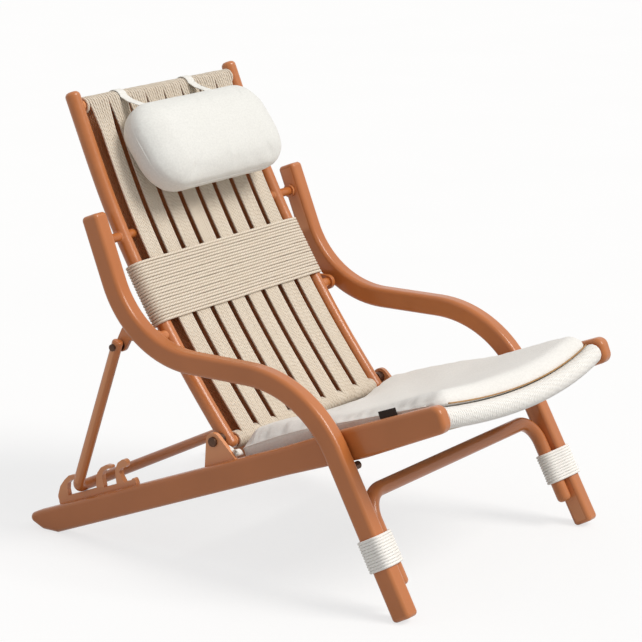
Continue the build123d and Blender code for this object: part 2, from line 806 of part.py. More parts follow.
loop_inner = layer_outer + rope_gap
loop_outer = loop_inner + loop_thickness
top_way = stile_axis.line % top_bar_at
loop_middle_x = pillow_x + loop_shift
for loop_name, loop_x in (("pillow_loop_left", loop_middle_x + loop_spacing / 2),
                          ("pillow_loop_right", loop_middle_x - loop_spacing / 2)):
    hanger_plane = Plane(
        origin=(loop_x - loop_width / 2, *top_bar_place), x_dir=(0, -top_way.Z, top_way.Y),
        z_dir=(-1, 0, 0),
    )
    with BuildPart() as hanger:
        with BuildSketch(hanger_plane):
            Circle(loop_outer)
            Circle(loop_inner, mode=Mode.SUBTRACT)
            with Locations((0, -loop_outer)):
                Rectangle(2 * loop_outer, 2 * loop_outer, mode=Mode.SUBTRACT)
            with Locations((-(loop_inner + loop_outer) / 2, -loop_tail / 2)):
                Rectangle(loop_thickness, loop_tail)
            with Locations(((loop_inner + loop_outer) / 2, -loop_head / 2)):
                Rectangle(loop_thickness, loop_head)
        extrude(amount=-loop_width)
    save(hanger, loop_name)
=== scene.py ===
import json
import math
import random

import bpy
import numpy as np
from mathutils import Matrix, Vector
from mathutils.noise import noise as noise_at


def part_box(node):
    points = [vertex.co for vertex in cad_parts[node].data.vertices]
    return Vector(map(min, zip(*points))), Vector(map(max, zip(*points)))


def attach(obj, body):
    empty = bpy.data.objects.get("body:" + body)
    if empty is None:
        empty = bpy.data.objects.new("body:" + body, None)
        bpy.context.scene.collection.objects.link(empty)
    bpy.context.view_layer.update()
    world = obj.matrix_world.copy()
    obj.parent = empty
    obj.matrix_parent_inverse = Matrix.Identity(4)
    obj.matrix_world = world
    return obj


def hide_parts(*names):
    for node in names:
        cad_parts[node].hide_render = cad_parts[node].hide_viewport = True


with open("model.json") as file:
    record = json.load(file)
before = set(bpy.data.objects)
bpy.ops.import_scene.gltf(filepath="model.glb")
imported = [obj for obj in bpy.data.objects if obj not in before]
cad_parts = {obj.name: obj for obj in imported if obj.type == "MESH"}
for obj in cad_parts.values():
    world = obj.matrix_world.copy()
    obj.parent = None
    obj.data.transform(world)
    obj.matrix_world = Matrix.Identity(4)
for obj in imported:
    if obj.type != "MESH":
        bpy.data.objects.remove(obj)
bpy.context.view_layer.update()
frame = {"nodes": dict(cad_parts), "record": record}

# Lengths are metres, apart from the sensor's width in millimetres, and angles are degrees.
# +Z is up and the sitter faces -Y. A name that ends in steps is a number of points along a line.

# Camera, from the fitted view of the photograph
camera_place = (-3.933, -2.7175, 1.617)
camera_azimuth = -55.35
camera_elevation = 13.94
focal_pixels = 2524.9
frame_pixels = 642.0
sensor_width = 36.0

# Light and floor
sun_strength = 2.25
sun_angle = 26.0
sun_colour = (1.0, 0.97, 0.93)
sun_from = (0.25, -0.85, 1.00)
sky_level = 0.48
floor_size = 60.0
floor_bounce = 0.55
floor_glow = 0.72

# Ropes
rope_radius = 0.0027
rope_pitch = 0.0052
rope_sides = 8
rope_gap = 0.0003
rope_wander = 0.0002
lay_length = 0.009
ropes_in_strap = 8
strap_pitch = 0.0566
strap_count = 8
strap_layer = 0.0143
strap_steps = 26
strap_turn_steps = 9
seat_strap_steps = 5
fan_length = 0.055
bar_ring_steps = 16
turn_slack = 0.3

# Back line, the same points as the stiles of the frame follow
stile_x = 0.250
stile_radius = 0.015
stile_foot = (0.031, 0.229)
stile_run = 0.379
stile_rise = 0.647
stile_line_shares = [
    (0.000, 0.000), (0.245, 0.184), (0.610, 0.510), (0.765, 0.680), (0.871, 0.819), (1.000, 1.000),
]
stile_search_steps = 1001
back_lean = 62.0

# Rope band round the stiles
band_turns = 21
band_low_share = 0.339
band_high_share = 0.507
band_rope_radius = 0.00285
band_strap_gap = 0.0004
band_grow = 0.0004
band_lift = 0.0004
band_waves = 4
band_wave_rate = 9
band_wave_shift = 1.7
band_steps = 13

# Rails and seat
rail_slope = 21.3
rail_contact_y = 0.425
rail_inner_x = 0.281
front_bar_radius = 0.014
front_bar_along = 0.950
front_bar_up = 0.0296
rear_bar_along = 0.480
rear_bar_up = 0.023
front_bow_out = 0.016
front_bow_down = 0.025
rear_bow_down = 0.025
coil_turn_steps = 16
seat_sag = 0.0258

# Leg lashings: the leg, the stretcher's tube beside it and the rope round both
leg_foot = np.array([-0.416, 0.006])
leg_knee = np.array([-0.1995, 0.4065])
leg_half_x = 0.0175
leg_half_deep = 0.0205
leg_edge = 0.009
leg_steps = 40
arm_bend_x = 0.331
arm_bend_y = -0.256
arm_splay = 1.07
tube_x = 0.2995
tube_radius = 0.014
tube_back = 0.004
lashing_low = 0.098
lashing_length = 0.061
lashing_turns = 11
lashing_rope_radius = 0.0028
lashing_gap = 0.0006
lashing_grow = 0.0004
lashing_wander = 0.0001
lashing_steps = 48

# Soft pieces
puff_frames = 20
lens_steps = 80
lens_trim = 0.9999
height_steps = 120
seam_calm = 0.006

# Seat cushion, the seat pad. The lines are (place along the rails, height above them).
pad_half = 0.274
pad_rear = 0.470
pad_front = 0.957
pad_under_line = [(0.470, 0.043), (0.957, 0.051)]
pad_seam_line = [(0.470, 0.066), (0.533, 0.070), (0.643, 0.072), (0.725, 0.067), (0.860, 0.060),
                 (0.957, 0.0555)]
pad_top_line = [(0.470, 0.089), (0.530, 0.093), (0.650, 0.088), (0.745, 0.080), (0.860, 0.080),
                (0.957, 0.079)]
pad_rear_crown = 0.012
pad_crown = 0.005
pad_crown_fade = 0.18
pad_rear_bumps = [(-0.180, 0.062, 0.007), (0.078, 0.085, -0.015)]
pad_bump_reach = 0.12
pad_start_inset = 0.004
pad_plan_corner = 0.032
pad_top_reach = 0.036
pad_under_reach = 0.009
pad_nose_reach = 0.020
pad_under_nose_reach = pad_nose_reach / 3
pad_voxel = 0.0050
pad_pressure = 4.0
pad_top_rise = 0.004
pad_side_rise = 0.002
pad_rise_reach = 0.06
pad_rise_band = 0.010
pad_fold_band = 0.008
pucker_reach = 0.020
pucker_size = 0.017
pucker_depth = 0.0044
pucker_gain = 2.2
pucker_sink = 0.3
pucker_side_shift = 2.0
pucker_front_share = 0.5
pucker_front_reach = 0.35
pucker_seed = 3.0
wrinkle_reach = 0.30
wrinkle_size = 0.075
wrinkle_depth = 0.0056
wrinkle_slant = 0.5
wrinkle_stretch = 0.30
wrinkle_front_share = 0.35
wrinkle_seed = 5.0
seam_cord_radius = 0.0012
seam_side_steps = 60
seam_turn_steps = 8
seam_rear_steps = 40
# The brown cord along the cushion's front edge is a painted shadow of the gap between the cushion and the
# front coil
shadow_cord_out = 0.0022
shadow_cord_drop = 0.0015
shadow_cord_radius = 0.0014
shadow_cord_end_gap = 0.018
shadow_cord_steps = 80

# Head pillow
pillow_rise_share = 0.771
pillow_off = 0.0339
pillow_x = 0.007
pillow_width = 0.410
pillow_height = 0.190
pillow_tilt = 54.0
pillow_corner = 0.072
pillow_seam_out = 0.044
pillow_full_out = 0.083
pillow_front_reach = 0.085
pillow_rear_reach = 0.034
pillow_roundness = 2.5
pillow_start_inset = 0.002
pillow_turn_steps = 96
pillow_outline_steps = 120
pillow_voxel = 0.0045
pillow_pressure = 5.0
pillow_front_rise = 0.007
pillow_side_rise = 0.002
pillow_rise_band = 0.02
pillow_pucker_reach = 0.022
pillow_pucker_circle = 0.28
pillow_pucker_size = 0.045
pillow_pucker_depth = 0.0030
pillow_pucker_seed = 2.0
pillow_wave_size = 0.10
pillow_wave_depth = 0.0022
pillow_wave_calm = 0.02
pillow_wave_seed = 6.0
pillow_seam_radius = 0.0011
pillow_seam_passes = 3
near_points = 4

# Loops that hang the pillow
loop_left_x = 0.0905
loop_right_x = -0.1265
loop_width = 0.022
loop_thickness = 0.0022
loop_tail = 0.060
loop_tail_top = 0.006
loop_tail_steps = 8
loop_turn_steps = 11
loop_drop = 0.004
loop_sag = 0.004
loop_front_shares = (0.35, 0.7, 1.0)

# Ties. A bow's points are (out from the cushion, along its side, up, 1 where the loops differ in height).
tie_tape_width = 0.011
tie_tape_thickness = 0.0014
tie_out = 0.004
tie_loop = [(0, 0, 0, 0), (0.002, 0.007, 0.007, 0), (0.003, 0.014, 0.0075, 1), (0.002, 0.0165, 0.001, 1),
            (0.0015, 0.010, -0.004, 0), (0, 0, 0, 0)]
tie_tail = [(0, 0, 0, 0), (0.003, 0.006, -0.007, 0), (0.003, 0.010, -0.014, 0), (0.002, 0.016, -0.017, 0)]
tie_loop_lifts = ((1, 0.0020), (-1, -0.0024))
tie_loop_steps = 20
tie_tail_steps = 12
knot_out = 0.002
knot_deep = 0.0035
knot_high = 0.0045
knot_width_share = 0.8
knot_steps = 13

# Tag
tag_along = 0.840
tag_up = 0.061
tag_length = 0.040
tag_height = 0.016
tag_columns = 40
tag_rows = 16
tag_lift = 0.0002
tag_thickness = 0.0010
tag_rounding = 0.0006
tag_turned_width = 0.0028
tag_turned_rise = 0.0004
tag_sewn_in = 0.0018
tag_sewn_half = 0.0004
tag_sewn_depth = 0.0003
tag_stitch_columns = 3
tag_wave_depth = 0.0003
tag_wave_turn = 7.0
tag_wave_start = 1.0

black = (0, 0, 0, 1)
white = (1, 1, 1, 1)
weave_scale = 1900.0 / 6


def srgb(r, g, b):
    """A linear colour from 0 to 255 screen values."""
    def one(c):
        c = c / 255
        return c / 12.92 if c <= 0.04045 else ((c + 0.055) / 1.055) ** 2.4
    return (one(r), one(g), one(b), 1.0)


def grey(level):
    """A linear grey."""
    return (level, level, level, 1.0)


def clamped(value):
    """The value, kept within 0 and 1."""
    return min(max(value, 0.0), 1.0)


def circle(count):
    """Even angles once round."""
    return np.linspace(0, 2 * math.pi, count, endpoint=False)


# Materials


def new_material(name, settings):
    """A material, its node tree and its shader, with plain values on the shader's own sockets."""
    material = bpy.data.materials.new(name)
    material.use_nodes = True
    tree = material.node_tree
    shader = tree.nodes["Principled BSDF"]
    for socket, value in settings.items():
        shader.inputs[socket].default_value = value
    return material, tree, shader


def feed(tree, socket, value):
    """Set a socket to a plain value, or link another node's output to it."""
    if isinstance(value, (int, float, tuple)):
        socket.default_value = value
    else:
        tree.links.new(value, socket)


def add_node(tree, kind, **values):
    """A node with its sockets fed, and its own settings set where it has no such socket."""
    node = tree.nodes.new(kind)
    for key, value in values.items():
        if key in node.inputs:
            feed(tree, node.inputs[key], value)
        else:
            setattr(node, key, value)
    return node


def coordinates(tree, kind="Object"):
    return tree.nodes.new("ShaderNodeTexCoord").outputs[kind]


def noise(tree, scale, detail):
    """A noise texture in the object's own coordinates."""
    return add_node(tree, "ShaderNodeTexNoise", Vector=coordinates(tree), Scale=scale, Detail=detail,
                    Roughness=0.5).outputs["Fac"]


def ramp(tree, source, *stops):
    """A colour ramp over a value, between two stops of (position, colour)."""
    node = add_node(tree, "ShaderNodeValToRGB", Fac=source)
    for element, (position, colour) in zip(node.color_ramp.elements, stops):
        element.position = position
        element.color = colour
    return node.outputs["Color"]


def bump(tree, shader, height, strength, distance, **after):
    """A bump on the shader, over another one where Normal gives it."""
    node = add_node(tree, "ShaderNodeBump", Height=height, Strength=strength, Distance=distance, **after)
    tree.links.new(node.outputs["Normal"], shader.inputs["Normal"])
    return node.outputs["Normal"]


def math_node(tree, operation, first, second=None):
    node = add_node(tree, "ShaderNodeMath", operation=operation)
    feed(tree, node.inputs[0], first)
    if second is not None:
        feed(tree, node.inputs[1], second)
    return node.outputs["Value"]


def sine(tree, value, rate):
    return math_node(tree, "SINE", math_node(tree, "MULTIPLY", value, rate))


def mix_colour(tree, factor, first, second, blend="MIX"):
    node = add_node(tree, "ShaderNodeMix", data_type="RGBA", blend_type=blend)
    sockets = [s for s in node.inputs if s.enabled]
    for socket, value in zip(sockets, (factor, first, second)):
        feed(tree, socket, value)
    return [s for s in node.outputs if s.enabled][0]


def mix_shader(tree, factor, first, second, output):
    """Mix two shaders, and link the mix to the tree's output."""
    node = tree.nodes.new("ShaderNodeMixShader")
    for slot, source in enumerate((factor, first, second)):
        tree.links.new(source, node.inputs[slot])
    tree.links.new(node.outputs["Shader"], tree.nodes[output].inputs["Surface"])


def paint_material():
    """Satin terracotta powder coat: fine orange peel, and a painted highlight that makes it a little lighter
    along the edges.
    """
    material, tree, shader = new_material("terracotta_paint", {
        "Roughness": 0.34, "Specular IOR Level": 0.4, "Coat Weight": 0.2, "Coat Roughness": 0.12,
    })
    drift = ramp(tree, noise(tree, 9.0, 2.0), (0.30, srgb(176, 101, 46)), (0.70, srgb(186, 108, 52)))
    geometry = tree.nodes.new("ShaderNodeNewGeometry")
    # Painted highlight: sharp edges get a lighter colour.
    edge = ramp(tree, geometry.outputs["Pointiness"], (0.50, black), (0.60, white))
    colour = mix_colour(tree, edge, drift, srgb(216, 146, 98))
    tree.links.new(colour, shader.inputs["Base Color"])
    fine = bump(tree, shader, noise(tree, 900.0, 2.0), 0.04, 0.0004)
    bump(tree, shader, noise(tree, 55.0, 2.0), 0.10, 0.0012, Normal=fine)
    return material


def rope_material(name, light, dark, seam, twist, inner_shade=None):
    """Twisted rope. The mesh's UV map runs once round the rope and along it in lay lengths.

    The last argument is a brown painted shade for the side that faces into a strap's loop, seen only through
    the gaps.
    """
    material, tree, shader = new_material(name, {
        "Roughness": 0.86, "Specular IOR Level": 0.25, "Sheen Weight": 0.15,
    })
    parts = add_node(tree, "ShaderNodeSeparateXYZ", Vector=coordinates(tree, "UV"))
    turns = math_node(tree, "MULTIPLY", parts.outputs["X"], 3.0)
    along = math_node(tree, "ADD", turns, parts.outputs["Y"])
    strands = math_node(tree, "ABSOLUTE", sine(tree, along, math.pi))
    yarns = sine(tree, along, 8 * math.pi)
    # Painted shade: the grooves between the strands take the darker seam colour.
    groove_shade = ramp(tree, strands, (0.0, black), (0.55, white))
    body = mix_colour(tree, noise(tree, 38.0, 4.0), dark, light)
    colour = mix_colour(tree, groove_shade, seam, body)
    if inner_shade:
        # Painted shade: the side that faces into the loop takes the brown colour.
        inner_shade_mask = ramp(tree, sine(tree, parts.outputs["X"], 2 * math.pi), (0.20, black), (0.60, white))
        colour = mix_colour(tree, inner_shade_mask, colour, inner_shade)
    tree.links.new(colour, shader.inputs["Base Color"])
    coarse = bump(tree, shader, strands, twist, 0.0008)
    fine = bump(tree, shader, yarns, 0.35, 0.0003, Normal=coarse)
    bump(tree, shader, noise(tree, 1600.0, 3.0), 0.30, 0.0003, Normal=fine)
    return material


def cloth_material(name, light, shade):
    """Plain woven cloth: crossing sets of threads, soft slubs and a little fuzz."""
    material, tree, shader = new_material(name, {
        "Roughness": 0.92, "Specular IOR Level": 0.2, "Sheen Weight": 0.25, "Sheen Roughness": 0.5,
    })
    waves = [add_node(tree, "ShaderNodeTexWave", Vector=coordinates(tree), Scale=weave_scale, Distortion=1.2,
                      Detail=2.0, bands_direction=axis).outputs["Fac"] for axis in "XYZ"]
    threads = math_node(tree, "ADD", math_node(tree, "ADD", waves[0], waves[1]), waves[2])
    colour = mix_colour(tree, noise(tree, 6.0, 3.0), shade, light)
    slub = ramp(tree, noise(tree, 260.0, 4.0), (0.35, grey(0.93)), (0.65, white))
    colour = mix_colour(tree, 1.0, colour, slub, "MULTIPLY")
    tree.links.new(colour, shader.inputs["Base Color"])
    fine = bump(tree, shader, threads, 0.35, 0.0003)
    bump(tree, shader, noise(tree, 45.0, 4.0), 0.12, 0.002, Normal=fine)
    return material


def dark_metal_material():
    """Dark brown fasteners, slightly uneven."""
    material, tree, shader = new_material("dark_fastener", {"Metallic": 0.6, "Roughness": 0.38})
    colour = ramp(tree, noise(tree, 60.0, 3.0), (0.3, srgb(72, 48, 34)), (0.7, srgb(104, 72, 52)))
    tree.links.new(colour, shader.inputs["Base Color"])
    bump(tree, shader, noise(tree, 700.0, 2.0), 0.2, 0.0003)
    return material


# The third colour of each rope is a painted shade for the grooves between its strands.
rope_colours = (srgb(236, 226, 211), srgb(225, 212, 194), srgb(201, 184, 160))
rope = rope_material("cream_rope", *rope_colours, 0.5)
# The strap ropes carry a brown painted shade on the sides that face into their loops.
strap_rope = rope_material("strap_rope", *rope_colours, 0.5, srgb(200, 136, 88))
rope_white = rope_material("pale_rope", srgb(255, 254, 251), srgb(251, 249, 244), srgb(245, 240, 232), 0.3)
seat_cloth = cloth_material("seat_cloth", srgb(248, 246, 242), srgb(240, 238, 233))
pillow_cloth = cloth_material("pillow_cloth", srgb(240, 240, 236), srgb(231, 231, 226))
# Golden-brown cloth for the cord that stands for the shadow gap at the cushion's front: painted shadow.
shadow_cord_cloth = cloth_material("painted_shadow_cord", srgb(190, 146, 88), srgb(164, 118, 66))
tape_cloth = cloth_material("white_tape", srgb(246, 245, 240), srgb(236, 234, 228))
tag_cloth = cloth_material("dark_tag", srgb(66, 60, 56), srgb(50, 46, 43))

slot_materials = {
    "frame_paint": paint_material(), "rope": rope, "seat_cloth": seat_cloth, "pillow_cloth": pillow_cloth,
    "webbing": tape_cloth, "tag": tag_cloth, "dark_metal": dark_metal_material(),
}
for entry in frame["record"]["subparts"]:
    materials = frame["nodes"][entry["node"]].data.materials
    materials.clear()
    materials.append(slot_materials[entry["material_slot"]])

# Lines in space


def lengths_along(points):
    """How far along a line of points each one lies."""
    return np.concatenate([[0.0], np.cumsum(np.linalg.norm(np.diff(points, axis=0), axis=1))])


def spline(points):
    """A smooth line through points, by the length of its chords: returns a place function of 0 to 1."""
    points = np.array(points, float)
    knots = lengths_along(points)
    knots = knots / knots[-1]
    count = len(points)
    gaps = np.diff(knots)
    system = np.zeros((count, count))
    right = np.zeros(points.shape)
    system[0, 0] = 1.0
    system[-1, -1] = 1.0
    for i in range(1, count - 1):
        system[i, i - 1] = gaps[i - 1]
        system[i, i] = 2 * (gaps[i - 1] + gaps[i])
        system[i, i + 1] = gaps[i]
        right[i] = 6 * ((points[i + 1] - points[i]) / gaps[i] - (points[i] - points[i - 1]) / gaps[i - 1])
    bends = np.linalg.solve(system, right)

    def place(share):
        i = int(np.clip(np.searchsorted(knots, share) - 1, 0, count - 2))
        a = (knots[i + 1] - share) / gaps[i]
        b = 1 - a
        curved = ((a ** 3 - a) * bends[i] + (b ** 3 - b) * bends[i + 1]) * gaps[i] ** 2 / 6
        return a * points[i] + b * points[i + 1] + curved

    return place


stile_line = spline([
    (stile_foot[0] + a * stile_run, stile_foot[1] + b * stile_rise) for a, b in stile_line_shares
])


def stile_frame(share):
    """A (y, z) on the back's line, with the unit ways up the line and out towards the sitter."""
    step = 0.001
    way = stile_line(min(share + step, 1.0)) - stile_line(max(share - step, 0.0))
    way = way / np.linalg.norm(way)
    return stile_line(share), way, np.array([-way[1], way[0]])


def off_stile(share, off):
    """The (y, z) at a distance from the back's line, towards the sitter."""
    place, _, out = stile_frame(share)
    return place + off * out


def round_bar(share, radius, turn):
    """The (y, z) at an angle round a bar that crosses the back's line, from the sitter's side up."""
    place, way, out = stile_frame(share)
    return place + radius * (math.cos(turn) * out + math.sin(turn) * way)


def best_share(miss):
    """The share of the back's line at which a measure of the (y, z) there is least."""
    shares = np.linspace(0, 1, stile_search_steps)
    return float(shares[int(np.argmin([miss(stile_line(s)) for s in shares]))])


def share_near(place):
    """The share of the back's line nearest to a (y, z)."""
    return best_share(lambda point: np.linalg.norm(point - place))


def share_at_rise(rise_share):
    """The share of the back's line at a share of its rise."""
    height = stile_foot[1] + rise_share * stile_rise
    return best_share(lambda point: abs(point[1] - height))


def node_middle(name):
    """The (y, z) in the middle of a node's box."""
    low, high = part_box(name)
    return np.array([(low[i] + high[i]) / 2 for i in (1, 2)])


def rail_point(along, up):
    """The (y, z) at a place along the rails and a height above them."""
    slope = math.radians(rail_slope)
    return np.array([rail_contact_y - along * math.cos(slope) + up * math.sin(slope),
                     along * math.sin(slope) + up * math.cos(slope)])


bow_end = rail_point(front_bar_along, front_bar_up)
bow_middle = rail_point(front_bar_along + front_bow_out, front_bar_up - front_bow_down)


def bar_line(x):
    """The (y, z) of the front bar's centre at x, an arc through its ends and its middle."""
    chord = np.linalg.norm(bow_middle - bow_end)
    arc_radius = (rail_inner_x ** 2 + chord ** 2) / (2 * chord)
    sink = arc_radius - math.sqrt(arc_radius ** 2 - x ** 2)
    return bow_middle + (bow_end - bow_middle) * sink / chord


# Meshes


def new_object(name, data):
    made = bpy.data.objects.new(name, data)
    bpy.context.scene.collection.objects.link(made)
    return made


def new_mesh(name, vertices, faces):
    mesh = bpy.data.meshes.new(name)
    mesh.from_pydata([tuple(v) for v in vertices], [], faces)
    return mesh


def dress(piece, material, body, replaced=()):
    """Give a piece its material, and say what it rides on and the nodes it stands for."""
    piece.data.materials.clear()
    piece.data.materials.append(material)
    piece.data.polygons.foreach_set("use_smooth", [True] * len(piece.data.polygons))
    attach(piece, body)
    if replaced:
        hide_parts(*replaced)


def square_frames(path, side, closed=False):
    """The path, and at each of its points the two unit ways square to it, the first nearest to side."""
    path = np.array(path, float)
    side = np.broadcast_to(np.array(side, float), path.shape)
    if closed:
        ahead = np.roll(path, -1, axis=0) - np.roll(path, 1, axis=0)
    else:
        ahead = np.gradient(path, axis=0)
    ahead = ahead / np.linalg.norm(ahead, axis=1)[:, None]
    across = side - ahead * np.sum(side * ahead, axis=1)[:, None]
    across = across / np.linalg.norm(across, axis=1)[:, None]
    return path, across, np.cross(ahead, across)


def ring_faces(first, rings, count, closed=False):
    """Faces between rings of points, in a circle or capped at both ends. first is the first point."""
    faces = []
    for ring in range(rings if closed else rings - 1):
        low = first + ring * count
        high = first + (ring + 1) % rings * count
        faces += [(low + k, low + (k + 1) % count, high + (k + 1) % count, high + k) for k in range(count)]
    if not closed:
        last = first + (rings - 1) * count
        faces += [tuple(first + k for k in reversed(range(count))), tuple(last + k for k in range(count))]
    return faces


class RopeBundle:
    """Round ropes gathered in one mesh, with a UV map that runs round and along each rope."""

    def __init__(self):
        self.vertices = []
        self.faces = []
        self.uvs = []

    def add(self, path, side, radius=rope_radius, closed=False, start=0.0):
        """path is the rope's line and side a direction square to it."""
        path, across, third = square_frames(path, side, closed)
        self.faces += ring_faces(len(self.vertices), len(path), rope_sides, closed)
        for place, u, v in zip(path, across, third):
            self.vertices.extend(
                place + radius * (math.cos(a) * u + math.sin(a) * v) for a in circle(rope_sides)
            )
        marks = start + lengths_along([*path, path[0]] if closed else path) / lay_length
        for low, high in zip(marks, marks[1:]):
            for k in range(rope_sides):
                left = k / rope_sides
                right = (k + 1) / rope_sides
                self.uvs.extend([(left, low), (right, low), (right, high), (left, high)])
        if not closed:
            self.uvs.extend([(0.0, 0.0)] * (2 * rope_sides))

    def finish(self, name, material, body, replaced=()):
        """Make the piece."""
        mesh = new_mesh(name, self.vertices, self.faces)
        layer = mesh.uv_layers.new(name="along_rope")
        layer.data.foreach_set("uv", [c for uv in self.uvs for c in uv])
        dress(new_object(name, mesh), material, body, replaced)


chance = random.Random(7)

# Back straps: eight ropes each, round the lower and the top bar, spreading just below the top bar
lower_share = share_near(node_middle("back_lower_bar"))
top_share = share_near(node_middle("back_top_bar"))
strap_stations = [(k - (strap_count - 1) / 2) * strap_pitch for k in range(strap_count)]
strap_half = ropes_in_strap / 2 * rope_pitch
spread_pitch = strap_pitch / ropes_in_strap
back_length = stile_rise / math.sin(math.radians(back_lean))


def strap_loop(layer):
    """The (y, z, share) points of a rope's loop round both bars."""
    steps = np.linspace(lower_share, top_share, strap_steps)
    turns = np.linspace(0, math.pi, strap_turn_steps)[1:-1]
    front = [(*off_stile(s, layer), s) for s in steps]
    over = [(*round_bar(top_share, layer, a), top_share) for a in turns]
    back = [(*off_stile(s, -layer), s) for s in reversed(steps)]
    under = [(*round_bar(lower_share, -layer, a), lower_share) for a in turns]
    return front + over + back + under


def gather(share):
    """How close the ropes lie: 1 in the strap, and 0 where they spread over the top bar."""
    t = clamped((top_share - share) * back_length / fan_length)
    return t * t * (3 - 2 * t)


for number, station in enumerate(strap_stations, start=1):
    bundle = RopeBundle()
    for k in range(ropes_in_strap):
        place = k - (ropes_in_strap - 1) / 2
        wander = chance.uniform(-rope_wander, rope_wander)
        path = []
        for y, z, share in strap_loop(strap_layer + wander):
            close = gather(share)
            pitch = rope_pitch * close + spread_pitch * (1 - close)
            path.append((station + place * pitch + wander, y, z))
        bundle.add(path, (1, 0, 0), closed=True, start=chance.uniform(0, 1))
    bundle.finish(f"rope_strap_{number}", strap_rope, "back_frame", [f"back_strap_{number}"])

# Turns of rope on the two bars, beside the straps and on the lower bar between them too
bar_end = stile_x - stile_radius
top_start = strap_stations[-1] + strap_pitch / 2
edges = [-bar_end, *(x + side * strap_half for x in strap_stations for side in (-1, 1)), bar_end]


def bar_turns(name, share, gaps, replaced=()):
    """Close turns of rope round a bar that crosses the back's line, in gaps from one x to another."""
    bundle = RopeBundle()
    middle_y, middle_z = stile_line(share)
    for start, end in gaps:
        count = int((end - start) / rope_pitch + turn_slack)
        for k in range(count):
            x = start + (k + 0.5) * (end - start) / count
            ring = [(x, middle_y + strap_layer * math.cos(a), middle_z + strap_layer * math.sin(a))
                    for a in circle(bar_ring_steps)]
            bundle.add(ring, (1, 0, 0), closed=True, start=chance.uniform(0, 1))
    bundle.finish(name, rope, "back_frame", replaced)


bar_turns("top_bar_turns", top_share, [(top_start, bar_end), (-bar_end, -top_start)], ["top_bar_rope"])
bar_turns("lower_bar_turns", lower_share, zip(edges[::2], edges[1::2]))

# Rope band: level turns round both stiles and over the straps
flat_x = strap_stations[-1] + strap_half
flat_off = strap_layer + 2 * rope_radius + band_strap_gap
stile_off = stile_radius + rope_radius + rope_gap


def band_section(grow):
    """(x, off) points of a tight turn round the two stiles and the straps between them."""
    tilt = math.asin((flat_off - stile_off) / (stile_x - flat_x))
    radius = stile_off + grow
    half = [(stile_x + radius * math.cos(a), radius * math.sin(a))
            for a in np.linspace(tilt - math.pi / 2, math.pi / 2 - tilt, band_steps)]
    half += [(x, flat_off + grow) for x in np.linspace(flat_x, -flat_x, band_steps)]
    return half + [(-x, -off) for x, off in half]


band_low = share_at_rise(band_low_share)
band_high = share_at_rise(band_high_share)
bundle = RopeBundle()
for turn in range(band_turns):
    centre, way, out = stile_frame(band_low + (band_high - band_low) * (turn + 0.5) / band_turns)
    grow = chance.uniform(0, band_grow)
    lifts = [chance.uniform(-band_lift, band_lift) for _ in range(band_waves)]
    path = []
    for x, off in band_section(grow):
        wave = sum(lift * math.sin(n * x * band_wave_rate + turn * band_wave_shift * n)
                   for n, lift in enumerate(lifts, start=1)) / 2
        path.append((x, *(centre + off * out + wave * way)))
    bundle.add(path, (0, *way), closed=True, start=chance.uniform(0, 1), radius=band_rope_radius)
bundle.finish("rope_band", rope, "back_frame", ["back_rope_band"])

# Front seat bar: one close coil of rope along the bowed bar
coil_radius = front_bar_radius + rope_radius + rope_gap
coil_half = rail_inner_x - rope_radius
coil_turns = int(2 * coil_half / (2 * rope_radius + rope_gap))
coil_steps = coil_turns * coil_turn_steps
bundle = RopeBundle()
path = []
for i in range(coil_steps + 1):
    x = -coil_half + 2 * coil_half * (i / coil_steps)
    angle = 2 * math.pi * i / coil_turn_steps
    y, z = bar_line(x)
    path.append((x, y + coil_radius * math.cos(angle), z + coil_radius * math.sin(angle)))
bundle.add(path, (1, 0, 0))
bundle.finish("front_bar_coil", rope_white, "seat_frame", ["front_bar_rope"])

# Leg lashings: level turns round each leg and the stretcher's tube beside it
leg_way = (leg_knee - leg_foot) / np.linalg.norm(leg_knee - leg_foot)
leg_back = np.array([leg_way[1], -leg_way[0]])


def hull(points):
    """The convex outline of 2-D points."""
    points = sorted(set((round(x, 7), round(y, 7)) for x, y in points))

    def half(run):
        chain = []
        for p in run:
            while len(chain) > 1 and (
                (chain[-1][0] - chain[-2][0]) * (p[1] - chain[-2][1])
                - (chain[-1][1] - chain[-2][1]) * (p[0] - chain[-2][0])
            ) <= 0:
                chain.pop()
            chain.append(p)
        return chain[:-1]

    return half(points) + half(reversed(points))


def even_outline(points, count):
    """Points evenly spaced along a closed outline."""
    points = np.array(list(points) + [points[0]], float)
    lengths = lengths_along(points)
    wanted = np.linspace(0, lengths[-1], count, endpoint=False)
    return np.stack([np.interp(wanted, lengths, points[:, i]) for i in range(2)], axis=1)


def corner_point(turn, half_x, half_y, corner, grow=0.0):
    """A place on a rectangle with rounded corners, grown outwards."""
    return (math.copysign(half_x - corner, math.cos(turn)) + (corner + grow) * math.cos(turn),
            math.copysign(half_y - corner, math.sin(turn)) + (corner + grow) * math.sin(turn))


for sign, side_name in ((1, "left"), (-1, "right")):
    bundle = RopeBundle()
    for turn in range(lashing_turns):
        centre = leg_foot + (lashing_low + (turn + 0.5) * lashing_length / lashing_turns) * leg_way
        grow = rope_radius + lashing_gap + chance.uniform(0, lashing_grow)
        middle = arm_bend_x - (centre[0] - arm_bend_y) * math.tan(math.radians(arm_splay))
        outline = []
        for a in circle(leg_steps):
            x, back = corner_point(a, leg_half_x, leg_half_deep, leg_edge, grow)
            outline.append((middle + x, back))
            outline.append((tube_x + (tube_radius + grow) * math.cos(a),
                            tube_back + (tube_radius + grow) * math.sin(a)))
        path = []
        for x, back in even_outline(hull(outline), lashing_steps):
            lift = chance.uniform(-lashing_wander, lashing_wander)
            path.append((sign * x, *(centre + back * leg_back + leg_way * lift)))
        bundle.add(path, (0, *leg_way), closed=True, start=chance.uniform(0, 1), radius=lashing_rope_radius)
    bundle.finish(f"rope_lashing_{side_name}", rope_white, "arm_frame",
                  [f"leg_lashing_{side_name}"])

